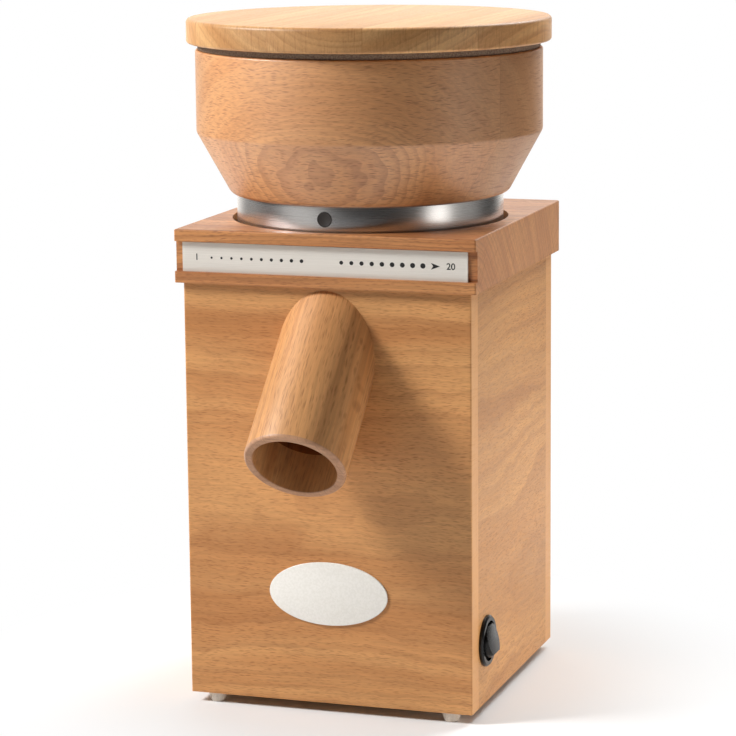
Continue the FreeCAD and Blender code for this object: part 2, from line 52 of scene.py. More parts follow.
# Camera, fitted to the edges of the object in the photograph of 736 by 736 pixels
PHOTO_SIZE = 736
FOCAL_PIXELS = 2980.0
SENSOR_WIDTH = 36.0
CAMERA_PLACE = Vector((0.461733, -1.395345, 0.429015))
CAMERA_AZIMUTH = 18.386
CAMERA_TILT = 10.402
CAMERA_ROLL = 0.536

# Floor: a light grey disc, which the camera sees fade to white between two distances from the middle
FLOOR_RADIUS = 0.85
FLOOR_SIDES = 96
FLOOR_GREY = 0.80
FADE_START = 0.09
FADE_END = 0.22

# Studio: an even warm glow, and soft patches, each with its azimuth from the front to the right, its height
# and its width in degrees, and its strength. A negative strength is shade.
WORLD_TINT = (1, 0.95, 0.88, 1)
WORLD_LEVEL = 0.055
STRIP_FOR_RING = (78, -4, 15, 2.2)
FRONT_LEFT_FILL = (-42, -3, 30, 0.48)
SHADE_BY_CAMERA = (22, -8, 30, -0.05)
LIGHT_BEHIND = (198, 12, 50, 1.6)
FAR_LEFT_FILL = (-110, -5, 30, 0.27)
RIGHT_FILL = (100, 0, 35, 0.27)
WORLD_PATCHES = [STRIP_FOR_RING, FRONT_LEFT_FILL, SHADE_BY_CAMERA, LIGHT_BEHIND, FAR_LEFT_FILL, RIGHT_FILL]

# Depth of the relief that each kind of surface has
WOOD_RELIEF = 0.0002
SPECKLE_RELIEF = 0.0001
METAL_RELIEF = 0.00005

# The spout slants down to the front by this angle. Each way that fibres run has the turn that lays it
# along X, and its direction.
SPOUT_FALL = 42.7
GRAIN_TURNS = {"x": (0, 0, 0), "y": (0, 0, -90), "spout": (-SPOUT_FALL, 0, -90)}
FIBRES = {
    "x": (1, 0, 0),
    "y": (0, 1, 0),
    "spout": (0, math.cos(math.radians(SPOUT_FALL)), math.sin(math.radians(SPOUT_FALL))),
}


def srgb(red, green, blue):
    """A colour given as it looks on a screen, 0 to 255, as the linear values that shaders take."""
    values = []
    for value in (red, green, blue):
        share = value / 255
        values.append(share / 12.92 if share <= 0.04045 else ((share + 0.055) / 1.055) ** 2.4)
    return (*values, 1.0)


def turns_round(count):
    """Angles in equal steps, once round a circle."""
    return [math.tau * i / count for i in range(count)]


def toward(azimuth, height):
    """The direction at an azimuth, counted from the front to the right, and a height, in degrees."""
    turn, rise = math.radians(azimuth), math.radians(height)
    return Vector((math.sin(turn) * math.cos(rise), -math.cos(turn) * math.cos(rise), math.sin(rise)))


# Shader nodes

def put(tree, kind, inputs=None, **settings):
    """Add a node, with its settings, and set or link each named or numbered input."""
    node = tree.nodes.new(kind)
    for name, value in settings.items():
        setattr(node, name, value)
    for key, value in (inputs or {}).items():
        socket = node.inputs[key]
        if isinstance(value, bpy.types.NodeSocket):
            tree.links.new(value, socket)
        else:
            socket.default_value = value
    return node


def calc(tree, operation, *values, clamp=False):
    """One sum on values or sockets."""
    inputs = dict(enumerate(values))
    return put(tree, "ShaderNodeMath", inputs, operation=operation, use_clamp=clamp).outputs[0]


def vector_calc(tree, operation, *values):
    """One sum on vectors."""
    return put(tree, "ShaderNodeVectorMath", dict(enumerate(values)), operation=operation).outputs[0]


def scaled(tree, vector, factor):
    """A vector made longer or shorter by a number."""
    return put(tree, "ShaderNodeVectorMath", {0: vector, "Scale": factor}, operation="SCALE").outputs[0]


def measured(tree, operation, *vectors):
    """A length or a dot product of vectors, as a number."""
    inputs = dict(enumerate(vectors))
    return put(tree, "ShaderNodeVectorMath", inputs, operation=operation).outputs["Value"]


def stretch(tree, value, low, high, to_low=0.0, to_high=1.0, smooth=True):
    """Spread a band of values over another, held at its ends."""
    kind = "SMOOTHSTEP" if smooth else "LINEAR"
    inputs = {"Value": value, "From Min": low, "From Max": high, "To Min": to_low, "To Max": to_high}
    return put(tree, "ShaderNodeMapRange", inputs, interpolation_type=kind).outputs[0]


def mix_colour(tree, share, first, second):
    """One colour laid over another by a share. Sockets 0, 6 and 7 are the node's share and its colours."""
    return put(tree, "ShaderNodeMix", {0: share, 6: first, 7: second}, data_type="RGBA").outputs[2]


def noise(tree, vector, detail=2.0, roughness=0.5, scale=1.0):
    """Soft noise, from 0 to 1."""
    inputs = {"Vector": vector, "Scale": scale, "Detail": detail, "Roughness": roughness}
    return put(tree, "ShaderNodeTexNoise", inputs)


def group(name, inputs, outputs):
    """An empty node group with its sockets, and the nodes at its two ends."""
    tree = bpy.data.node_groups.new(name, "ShaderNodeTree")
    for label, kind, value in inputs:
        socket = tree.interface.new_socket(label, in_out="INPUT", socket_type=kind)
        if value is not None:
            socket.default_value = value
    for label, kind in outputs:
        tree.interface.new_socket(label, in_out="OUTPUT", socket_type=kind)
    return tree, tree.nodes.new("NodeGroupInput").outputs, tree.nodes.new("NodeGroupOutput").inputs


def use(tree, made, **inputs):
    """Place a group in a tree, with its inputs set or linked."""
    node = tree.nodes.new("ShaderNodeGroup")
    node.node_tree = made
    for name, value in inputs.items():
        if isinstance(value, bpy.types.NodeSocket):
            tree.links.new(value, node.inputs[name])
        else:
            node.inputs[name].default_value = value
    return node.outputs


# What each kind of surface gives its shader
SURFACE = [("Color", "NodeSocketColor"), ("Height", "NodeSocketFloat"), ("Roughness", "NodeSocketFloat")]


def make_beech_group():
    """Beech as a solid block: fibres along X, growth rings round the X axis, and rays across the fibres.

    A ray shows as a short dark dash on a face that it runs into, and as a thin line on the end grain.
    Rays is the turn of their direction, from Y towards Z. Past the radius Clear the rings grow faint.
    Length draws the dashes out along the fibres, and Streaks is the strength of the silky streaks.
    """
    tree, given, out = group("beech", [
        ("Vector", "NodeSocketVector", None),
        ("Rays", "NodeSocketFloat", 0.0),
        ("Clear", "NodeSocketFloat", 10.0),
        ("Spacing", "NodeSocketFloat", 0.003),
        ("Warp", "NodeSocketFloat", 0.003),
        ("Wave", "NodeSocketFloat", 0.0006),
        ("Light", "NodeSocketColor", (0.8, 0.6, 0.4, 1)),
        ("Middle", "NodeSocketColor", (0.6, 0.4, 0.2, 1)),
        ("Dark", "NodeSocketColor", (0.4, 0.2, 0.1, 1)),
        ("Bands", "NodeSocketFloat", 1.0),
        ("Rings", "NodeSocketFloat", 0.5),
        ("Flecks", "NodeSocketFloat", 0.6),
        ("Length", "NodeSocketFloat", 1.0),
        ("Streaks", "NodeSocketFloat", 0.07),
    ], SURFACE)
    place = given["Vector"]
    # How often each pattern changes in a metre: along the fibres, across them and through the rings
    warp_scale = (6.0, 20.0, 20.0)
    wave_scale = (60.0, 70.0, 70.0)
    cloud_scale = (10.0, 22.0, 22.0)
    band_scale = (3.0, 7.0, 110.0)
    uneven_scale = (2.0, 4.0, 90.0)
    fine_ray_scale = (230.0, 1500.0, 60.0)
    long_ray_scale = (135.0, 980.0, 42.0)
    fibre_scale = (90.0, 2300.0, 2300.0)
    silk_scale = (22.0, 900.0, 900.0)

    def bend(vector, scale, amount):
        """Push the block about by soft noise, up to an amount each way."""
        drift = noise(tree, vector_calc(tree, "MULTIPLY", vector, scale), detail=1.0).outputs["Color"]
        drift = vector_calc(tree, "SUBTRACT", drift, (0.5, 0.5, 0.5))
        return vector_calc(tree, "ADD", vector, scaled(tree, drift, calc(tree, "MULTIPLY", amount, 2.0)))

    # The grain's own axes: along the fibres, across the rays, along the rays, and out from the pith
    bent = bend(bend(place, warp_scale, given["Warp"]), wave_scale, given["Wave"])
    x, y, z = put(tree, "ShaderNodeSeparateXYZ", {0: bent}).outputs
    squares = calc(tree, "ADD", calc(tree, "MULTIPLY", y, y), calc(tree, "MULTIPLY", z, z))
    radius = calc(tree, "SQRT", squares)
    cos, sin = calc(tree, "COSINE", given["Rays"]), calc(tree, "SINE", given["Rays"])
    inward = calc(tree, "ADD", calc(tree, "MULTIPLY", y, cos), calc(tree, "MULTIPLY", z, sin))
    across = calc(tree, "SUBTRACT", calc(tree, "MULTIPLY", z, cos), calc(tree, "MULTIPLY", y, sin))
    along = calc(tree, "DIVIDE", x, given["Length"])
    layered = put(tree, "ShaderNodeCombineXYZ", {0: x, 1: across, 2: radius}).outputs[0]
    rayed = put(tree, "ShaderNodeCombineXYZ", {0: along, 1: across, 2: inward}).outputs[0]

    def layers(scale, detail=2.0, roughness=0.5):
        """Noise that follows the growth rings."""
        spread = vector_calc(tree, "MULTIPLY", layered, scale)
        return noise(tree, spread, detail=detail, roughness=roughness).outputs["Fac"]

    def rays(scale, low, high):
        """Scattered dashes, one where each ray comes to the surface."""
        spread = vector_calc(tree, "MULTIPLY", rayed, scale)
        cells = put(tree, "ShaderNodeTexVoronoi", {"Vector": spread, "Scale": 1.0})
        return stretch(tree, cells.outputs["Distance"], low, high, 1.0, 0.0)

    # Broad bands, and the dark late wood at the end of each year, with years of uneven width
    cloud = noise(tree, vector_calc(tree, "MULTIPLY", place, cloud_scale), detail=2.0).outputs["Fac"]
    broad = stretch(tree, layers(band_scale, detail=3.0, roughness=0.55), 0.32, 0.68)
    uneven = calc(tree, "MULTIPLY", layers(uneven_scale), 3.2)
    years = calc(tree, "ADD", calc(tree, "DIVIDE", radius, given["Spacing"]), uneven)
    season = calc(tree, "SUBTRACT", years, calc(tree, "FLOOR", years))
    winter = stretch(tree, season, 0.94, 1.0, 1.0, 0.0)
    late = calc(tree, "MULTIPLY", stretch(tree, season, 0.35, 0.93), winter)
    late = calc(tree, "MULTIPLY", late, stretch(tree, cloud, 0.35, 0.62, 0.45, 1.0))
    fading = calc(tree, "DIVIDE", radius, given["Clear"])
    late = calc(tree, "MULTIPLY", late, stretch(tree, fading, 1.0, 1.2, 1.0, 0.25))

    # Ray flecks, thinner in some places than in others
    fine = calc(tree, "MULTIPLY", rays(fine_ray_scale, 0.10, 0.42), 0.7)
    long = calc(tree, "MULTIPLY", rays(long_ray_scale, 0.08, 0.34), 0.9)
    marks = calc(tree, "MAXIMUM", fine, long)
    marks = calc(tree, "MULTIPLY", marks, stretch(tree, cloud, 0.3, 0.7, 0.65, 1.0))
    marks = calc(tree, "MULTIPLY", marks, given["Flecks"], clamp=True)

    # Colour, laid on in that order, and then made a little lighter or darker by fibres, clouds and silk
    fibre = layers(fibre_scale)
    band_share = calc(tree, "MULTIPLY", broad, given["Bands"], clamp=True)
    ring_share = calc(tree, "MULTIPLY", late, given["Rings"], clamp=True)
    colour = mix_colour(tree, band_share, given["Light"], given["Middle"])
    colour = mix_colour(tree, ring_share, colour, given["Dark"])
    colour = mix_colour(tree, marks, colour, given["Dark"])
    silk = calc(tree, "SUBTRACT", stretch(tree, layers(silk_scale), 0.3, 0.7, 0.0, 2.0), 1.0)
    fibre_tone = stretch(tree, fibre, 0.25, 0.75, -0.05, 0.05)
    tone = calc(tree, "ADD", fibre_tone, stretch(tree, cloud, 0.3, 0.7, -0.05, 0.05))
    tone = calc(tree, "ADD", tone, calc(tree, "MULTIPLY", silk, given["Streaks"]))
    level = calc(tree, "ADD", tone, 1.0)
    toned = put(tree, "ShaderNodeHueSaturation", {"Color": colour, "Value": level})
    tree.links.new(toned.outputs[0], out["Color"])

    # Relief and gloss: the fibres stand up a little, and the flecks are low and dull
    height = calc(tree, "SUBTRACT", calc(tree, "MULTIPLY", fibre, 0.35), calc(tree, "MULTIPLY", marks, 0.8))
    tree.links.new(height, out["Height"])
    fibre_rough = stretch(tree, fibre, 0.2, 0.8, 0.38, 0.48)
    tree.links.new(calc(tree, "ADD", fibre_rough, calc(tree, "MULTIPLY", marks, 0.15)), out["Roughness"])
    return tree


def make_boards_group():
    """Strips glued side by side. Each but the one numbered 0 moves the grain, and each has its own tone."""
    tree, given, out = group("glued boards", [
        ("Vector", "NodeSocketVector", None),
        ("Across", "NodeSocketFloat", 0.0),
        ("Pitch", "NodeSocketFloat", 0.05),
        ("Start", "NodeSocketFloat", 0.0),
        ("Joint", "NodeSocketFloat", 0.0003),
    ], [("Vector", "NodeSocketVector"), ("Tone", "NodeSocketFloat"), ("Joint", "NodeSocketFloat")])
    steps = calc(tree, "DIVIDE", calc(tree, "SUBTRACT", given["Across"], given["Start"]), given["Pitch"])
    index = calc(tree, "FLOOR", steps)
    inside = calc(tree, "SUBTRACT", steps, index)
    chance = put(tree, "ShaderNodeTexWhiteNoise", {"W": index}, noise_dimensions="1D").outputs
    moves = calc(tree, "ABSOLUTE", index, clamp=True)
    moved = scaled(tree, vector_calc(tree, "MULTIPLY", chance["Color"], (1.0, 0.05, 0.05)), moves)
    tree.links.new(vector_calc(tree, "ADD", given["Vector"], moved), out["Vector"])
    tree.links.new(chance["Value"], out["Tone"])
    edge = calc(tree, "MINIMUM", inside, calc(tree, "SUBTRACT", 1.0, inside))
    away = calc(tree, "MULTIPLY", edge, given["Pitch"])
    share = calc(tree, "DIVIDE", away, given["Joint"])
    tree.links.new(calc(tree, "SUBTRACT", 1.0, share, clamp=True), out["Joint"])
    return tree


def make_speckle_group():
    """Fine speckle for stone, rubber, felt and moulded plastic."""
    tree, given, out = group("fine speckle", [
        ("Vector", "NodeSocketVector", None),
        ("Scale", "NodeSocketFloat", 1500.0),
        ("First", "NodeSocketColor", (0.5, 0.5, 0.5, 1)),
        ("Second", "NodeSocketColor", (0.6, 0.6, 0.6, 1)),
        ("Low", "NodeSocketFloat", 0.4),
        ("High", "NodeSocketFloat", 0.5),
    ], SURFACE)
    grain = noise(tree, given["Vector"], detail=3.0, scale=given["Scale"]).outputs["Fac"]
    share = stretch(tree, grain, 0.35, 0.65)
    tree.links.new(mix_colour(tree, share, given["First"], given["Second"]), out["Color"])
    tree.links.new(grain, out["Height"])
    tree.links.new(stretch(tree, grain, 0.3, 0.7, given["Low"], given["High"]), out["Roughness"])
    return tree


def make_brushed_group():
    """Fine lines of brushing or turning, all along one direction, which change the tone a little."""
    tree, given, out = group("brushed lines", [
        ("Vector", "NodeSocketVector", None),
        ("Lines", "NodeSocketVector", (20.0, 20.0, 4000.0)),
        ("First", "NodeSocketColor", (0.5, 0.5, 0.5, 1)),
        ("Second", "NodeSocketColor", (0.6, 0.6, 0.6, 1)),
        ("Low", "NodeSocketFloat", 0.25),
        ("High", "NodeSocketFloat", 0.35),
    ], SURFACE)
    spread = vector_calc(tree, "MULTIPLY", given["Vector"], given["Lines"])
    lines = noise(tree, spread, detail=3.0).outputs["Fac"]
    share = stretch(tree, lines, 0.3, 0.7)
    tree.links.new(mix_colour(tree, share, given["First"], given["Second"]), out["Color"])
    tree.links.new(lines, out["Height"])
    tree.links.new(stretch(tree, lines, 0.3, 0.7, given["Low"], given["High"]), out["Roughness"])
    return tree


BEECH = make_beech_group()
BOARDS = make_boards_group()
SPECKLE = make_speckle_group()
BRUSHED = make_brushed_group()


# Materials

def new_material(name):
    """A material with only its shader and output."""
    material = bpy.data.materials.new(name)
    material.use_nodes = True
    tree = material.node_tree
    tree.nodes.clear()
    shader = tree.nodes.new("ShaderNodeBsdfPrincipled")
    end = tree.nodes.new("ShaderNodeOutputMaterial")
    tree.links.new(shader.outputs[0], end.inputs["Surface"])
    return material, tree, shader


def finish_surface(tree, shader, found, bump, relief):
    """Link a group's colour, roughness and height to the shader."""
    tree.links.new(found["Color"], shader.inputs["Base Color"])
    tree.links.new(found["Roughness"], shader.inputs["Roughness"])
    raised = put(tree, "ShaderNodeBump", {"Strength": bump, "Distance": relief, "Height": found["Height"]})
    tree.links.new(raised.outputs[0], shader.inputs["Normal"])


def wood(name, light, middle, dark, along="x", pith=(0.1, 0.0), rays=0, spacing=0.003, warp=0.003,
         wave=0.0008, clear=10.0, bands=0.8, rings=0.35, flecks=0.5, length=1.0, streaks=0.07, boards=None,
         tone=0.25, end=0.22, even=0.0, bump=0.25, specular=0.4):
    """Oiled beech. Along is the way of the fibres, and pith is the middle of the growth rings.

    Boards glues it from strips: the axis across them, their width and where the first starts. Tone is how
    much they differ. End darkens the end grain, which drinks oil, and even evens out its colour. The rest
    goes to the beech group, the shader and its bump.
    """
    material, tree, shader = new_material(name)
    coords = put(tree, "ShaderNodeTexCoord").outputs
    where = coords["Object"]
    turn = tuple(math.radians(angle) for angle in GRAIN_TURNS[along])
    lay = {"Vector": where, "Location": (0, -pith[0], -pith[1]), "Rotation": turn}
    placed = put(tree, "ShaderNodeMapping", lay).outputs[0]
    if boards:
        axis, pitch, start = boards
        across = put(tree, "ShaderNodeSeparateXYZ", {0: where}).outputs["XYZ".index(axis)]
        glued = use(tree, BOARDS, Vector=placed, Across=across, Pitch=pitch, Start=start)
        placed = glued["Vector"]
    found = use(tree, BEECH, Vector=placed, Rays=math.radians(rays), Clear=clear, Spacing=spacing,
                Warp=warp, Wave=wave, Light=srgb(*light), Middle=srgb(*middle), Dark=srgb(*dark),
                Bands=bands, Rings=rings, Flecks=flecks, Length=length, Streaks=streaks)
    finish_surface(tree, shader, found, bump, WOOD_RELIEF)
    facing = calc(tree, "ABSOLUTE", measured(tree, "DOT_PRODUCT", coords["Normal"], FIBRES[along]))
    level = stretch(tree, facing, 0.55, 1.0, 1.0, 1 - end)
    colour = mix_colour(tree, stretch(tree, facing, 0.55, 1.0, 0.0, even), found["Color"], srgb(*light))
    if boards:
        own_tone = stretch(tree, glued["Tone"], 0.0, 1.0, 1 - tone, 1 + tone * 0.4, smooth=False)
        level = calc(tree, "MULTIPLY", level, own_tone)
    colour = put(tree, "ShaderNodeHueSaturation", {"Color": colour, "Value": level}).outputs[0]
    if boards:
        colour = mix_colour(tree, calc(tree, "MULTIPLY", glued["Joint"], 0.35), colour, srgb(*dark))
    tree.links.new(colour, shader.inputs["Base Color"])
    shader.inputs["Specular IOR Level"].default_value = specular
    return material


def speckled(name, first, second, scale=1500.0, rough=(0.4, 0.55), bump=0.2, specular=0.5, coat=0.0):
    """Stone, rubber, felt, enamel, ink or moulded plastic."""
    material, tree, shader = new_material(name)
    where = put(tree, "ShaderNodeTexCoord").outputs["Object"]
    found = use(tree, SPECKLE, Vector=where, Scale=scale, First=srgb(*first), Second=srgb(*second),
                Low=rough[0], High=rough[1])
    finish_surface(tree, shader, found, bump, SPECKLE_RELIEF)
    shader.inputs["Specular IOR Level"].default_value = specular
    shader.inputs["Coat Weight"].default_value = coat
    shader.inputs["Coat Roughness"].default_value = 0.12
    return material


def metal(name, first, second, lines, rough, bump=0.08, metallic=1.0):
    """Brushed, turned or cast metal."""
    material, tree, shader = new_material(name)
    where = put(tree, "ShaderNodeTexCoord").outputs["Object"]
    found = use(tree, BRUSHED, Vector=where, Lines=lines, First=srgb(*first), Second=srgb(*second),
                Low=rough[0], High=rough[1])
    finish_surface(tree, shader, found, bump, METAL_RELIEF)
    shader.inputs["Metallic"].default_value = metallic
    return material


# Meshes and objects

def add_object(name, data):
    """A new object in the scene."""
    obj = bpy.data.objects.new(name, data)
    bpy.context.scene.collection.objects.link(obj)
    return obj


def finished(mesh, name):
    """The mesh of a piece, with its faces turned outwards. Mesh is the draft, which is freed."""
    bmesh.ops.recalc_face_normals(mesh, faces=mesh.faces)
    made = bpy.data.meshes.new(name)
    mesh.to_mesh(made)
    mesh.free()
    return made


def new_piece(name, mesh, body, material, *replaced, slot, sharp=40.0, matrix=None):
    """An object from a mesh, smooth but for its sharp edges, that rides on a body."""
    obj = add_object(name, mesh)
    if matrix is not None:
        obj.matrix_world = matrix
    mesh.materials.append(material)
    mesh.polygons.foreach_set("use_smooth", [True] * len(mesh.polygons))
    mesh.set_sharp_from_angle(angle=math.radians(sharp))
    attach(obj, body)
    if replaced:
        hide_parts(*replaced)
    return obj


def span(name):
    """Lowest and highest corner of a node, in millimetres."""
    low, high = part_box(name)
    return low / MM, high / MM


def rounded(corners, steps=5):
    """A closed outline of (r, z, round) corners, in millimetres, with each corner eased by its own arc."""
    points = []
    count = len(corners)
    for i, (r, z, size) in enumerate(corners):
        here = Vector((r, z))
        if size <= 0:
            points.append(here)
            continue
        before = (Vector(corners[i - 1][:2]) - here).normalized()
        after = (Vector(corners[(i + 1) % count][:2]) - here).normalized()
        half = before.angle(after) / 2
        reach = size / math.tan(half)
        centre = here + (before + after).normalized() * (size / math.sin(half))
        first = here + before * reach - centre
        last = here + after * reach - centre
        sweep = math.atan2(first.x * last.y - first.y * last.x, first.dot(last))
        for step in range(steps + 1):
            turn = sweep * step / steps
            cos, sin = math.cos(turn), math.sin(turn)
            points.append(centre + Vector((first.x * cos - first.y * sin, first.x * sin + first.y * cos)))
    return [(p.x * MM, p.y * MM) for p in points]


def turned_mesh(name, outline, segments=192):
    """A closed outline of (radius, height) turned round Z. Points on the axis close to one vertex."""
    mesh = bmesh.new()
    on_axis = 1e-7
    turns = turns_round(segments)
    rows = []
    for r, z in outline:
        if r < on_axis:
            rows.append([mesh.verts.new((0, 0, z))])
        else:
            rows.append([mesh.verts.new((r * math.cos(turn), r * math.sin(turn), z)) for turn in turns])
    for row, following in zip(rows, rows[1:] + rows[:1]):
        if len(row) == 1 and len(following) == 1:
            continue
        for i in range(segments):
            j = (i + 1) % segments
            corners = [row[i % len(row)], row[j % len(row)],
                       following[j % len(following)], following[i % len(following)]]
            mesh.faces.new(list(dict.fromkeys(corners)))
    return finished(mesh, name)


def wrap(mesh, columns):
    """Faces between columns of vertices, from each to the next and round, each face with its row."""
    faces = []
    for column, following in zip(columns, columns[1:] + columns[:1]):
        for row in range(len(column)):
            after = (row + 1) % len(column)
            corners = [column[row], column[after], following[after], following[row]]
            faces.append((row, mesh.faces.new(corners)))
    return faces


def thicken(mesh, outline, y, depth):
    """A flat outline in XZ at one Y, drawn out along Y by a depth. Gives the vertices of the far face."""
    face = mesh.faces.new([mesh.verts.new((x, y, z)) for x, z in outline])
    grown = bmesh.ops.extrude_face_region(mesh, geom=[face])["geom"]
    far = [v for v in grown if isinstance(v, bmesh.types.BMVert)]
    bmesh.ops.translate(mesh, verts=far, vec=(0, depth, 0))
    return far


def in_metres(points):
    """Flat points from millimetres to metres."""
    return [(x * MM, z * MM) for x, z in points]


# Stage, camera and light

def make_stage():
    """A white floor that keeps the shadow near the mill and fades into the white studio."""
    material, tree, shader = new_material("studio floor")
    shader.inputs["Base Color"].default_value = (FLOOR_GREY, FLOOR_GREY, FLOOR_GREY, 1)
    shader.inputs["Roughness"].default_value = 0.9
    shader.inputs["Specular IOR Level"].default_value = 0.1
    seen = put(tree, "ShaderNodeLightPath").outputs["Is Camera Ray"]
    away = measured(tree, "LENGTH", put(tree, "ShaderNodeTexCoord").outputs["Object"])
    faded = calc(tree, "MULTIPLY", stretch(tree, away, FADE_START, FADE_END), seen)
    white = put(tree, "ShaderNodeEmission", {"Color": (1, 1, 1, 1), "Strength": 1.0})
    both = put(tree, "ShaderNodeMixShader", {0: faded, 1: shader.outputs[0], 2: white.outputs[0]})
    end = next(node for node in tree.nodes if node.type == "OUTPUT_MATERIAL")
    tree.links.new(both.outputs[0], end.inputs["Surface"])
    turns = turns_round(FLOOR_SIDES)
    rim = [(FLOOR_RADIUS * math.cos(turn), FLOOR_RADIUS * math.sin(turn), 0) for turn in turns]
    mesh = bpy.data.meshes.new("floor")
    mesh.from_pydata(rim, [], [tuple(range(FLOOR_SIDES))])
    mesh.materials.append(material)
    add_object("floor", mesh)


def make_world():
    """Soft studio light: white to the camera, and with brighter and darker parts for metal to show."""
    world = bpy.data.worlds.new("studio")
    bpy.context.scene.world = world
    world.use_nodes = True
    tree = world.node_tree
    tree.nodes.clear()
    seen = put(tree, "ShaderNodeLightPath").outputs["Is Camera Ray"]
    way = put(tree, "ShaderNodeTexCoord").outputs["Generated"]
    level = WORLD_LEVEL
    for azimuth, height, wide, strength in WORLD_PATCHES:
        near = measured(tree, "DOT_PRODUCT", way, toward(azimuth, height))
        patch = stretch(tree, near, math.cos(math.radians(wide)), 1.0, 0.0, strength)
        level = calc(tree, "ADD", level, patch)
    level = calc(tree, "MAXIMUM", level, 0.0)
    lit = put(tree, "ShaderNodeBackground", {"Color": WORLD_TINT, "Strength": level})
    white = put(tree, "ShaderNodeBackground", {"Color": (1, 1, 1, 1), "Strength": 1.0})
    chosen = put(tree, "ShaderNodeMixShader", {0: seen, 1: lit.outputs[0], 2: white.outputs[0]})
    end = put(tree, "ShaderNodeOutputWorld")
    tree.links.new(chosen.outputs[0], end.inputs["Surface"])


def add_lamp(name, azimuth, height, distance, size, power, aim=0.17, mirrored=True):
    """A square soft box. Aim is the height on the mill's axis that it looks at."""
    lamp = bpy.data.lights.new(name, "AREA")
    lamp.shape = "SQUARE"
    lamp.size = size
    lamp.energy = power
    obj = add_object(name, lamp)
    way = toward(azimuth, height)
    obj.location = Vector((0, 0, aim)) + way * distance
    obj.rotation_euler = way.to_track_quat("Z", "Y").to_euler()
    obj.visible_glossy = mirrored
    obj.visible_camera = False


def make_camera():
    """The camera of the photograph."""
    turn, tilt, roll = (math.radians(angle) for angle in (CAMERA_AZIMUTH, CAMERA_TILT, CAMERA_ROLL))
    ahead = Vector((-math.sin(turn) * math.cos(tilt), math.cos(turn) * math.cos(tilt), -math.sin(tilt)))
    level_right = Vector((math.cos(turn), math.sin(turn), 0))
    level_down = ahead.cross(level_right)
    right = level_right * math.cos(roll) + level_down * math.sin(roll)
    down = level_down * math.cos(roll) - level_right * math.sin(roll)
    columns = Matrix((right, -down, -ahead)).transposed()
    data = bpy.data.cameras.new("camera")
    data.sensor_width = SENSOR_WIDTH
    data.lens = FOCAL_PIXELS * SENSOR_WIDTH / PHOTO_SIZE
    obj = add_object("camera", data)
    obj.matrix_world = Matrix.Translation(CAMERA_PLACE) @ columns.to_4x4()
    bpy.context.scene.camera = obj


bpy.context.scene.view_settings.view_transform = "Standard"
make_camera()
make_stage()
make_world()
add_lamp("key", azimuth=-60, height=36, distance=1.5, size=0.42, power=30.0)
add_lamp("right side", azimuth=92, height=4, distance=0.30, size=0.12, power=0.32, aim=0.012,
         mirrored=False)
add_lamp("back", azimuth=152, height=48, distance=1.5, size=0.8, power=21.0)

# Finishes: each wood has its light, middle and dark colour, and each of the others its two colours

PANEL_FRONT = wood("front panel beech", (210, 154, 97), (184, 123, 70), (130, 75, 36), pith=(0.06, 0.11),
                   spacing=0.006, warp=0.005, wave=0.0014, rings=0.22, bands=0.85, flecks=0.6, end=0.0,
                   even=0.8)
PANEL_SIDE = wood("side panel beech", (200, 145, 86), (179, 122, 67), (130, 79, 38), along="y",
                  pith=(0.05, 0.06), spacing=0.007, warp=0.009, wave=0.0018, rings=0.22, bands=0.7,
                  flecks=0.6)
CLEAT = wood("cleat beech", (214, 160, 106), (190, 130, 80), (146, 90, 50), pith=(0.1, 0.1))
BOARD = wood("top board beech", (196, 136, 82), (162, 100, 56), (106, 56, 26), pith=(-0.11, 0.15), rays=35,
             spacing=0.004, warp=0.005, rings=0.4, bands=0.85, flecks=0.6, streaks=0.12, end=0.04, even=0.3,
             specular=0.55)
BOWL = wood("bowl beech", (210, 153, 102), (185, 121, 70), (124, 66, 32), pith=(-0.1284, 0.233),
            spacing=0.0024, warp=0.0015, wave=0.0018, clear=0.068, rings=0.28, bands=0.4, flecks=0.75,
            boards=("Y", 0.0505, -0.087), tone=0.12, specular=0.9)
LID = wood("lid beech", (222, 172, 116), (200, 143, 87), (142, 86, 44), along="y", pith=(0.0, 0.42),
           rays=90, spacing=0.004, rings=0.25, boards=("X", 0.0466, 0.025), flecks=0.4, tone=0.14)
SPOUT_PITH = (0.01, 0.09)
SPOUT = wood("spout beech", (206, 151, 98), (184, 125, 73), (124, 72, 36), along="spout", pith=SPOUT_PITH,
             rays=75, spacing=0.004, rings=0.2, flecks=0.6, length=1.6, streaks=0.1, specular=0.5)
SPOUT_LIP = wood("spout lip", (194, 148, 114), (172, 126, 94), (128, 88, 62), along="spout",
                 pith=SPOUT_PITH, rays=75, flecks=0.5, end=0.1)
# Painted shade: darker wood for the deep part of the spout's bore, in place of the shade inside the tube
SPOUT_BORE_PAINTED_SHADE = wood("spout bore painted shade", (150, 86, 40), (124, 66, 28), (84, 40, 12), along="spout",
                    pith=SPOUT_PITH, rings=0.3, flecks=0.6, length=2.2, streaks=0.12, bump=0.4)
PLYWOOD = wood("base plywood", (214, 176, 124), (196, 154, 102), (160, 118, 74), pith=(0.0, -0.2), rays=90,
               flecks=0.2)

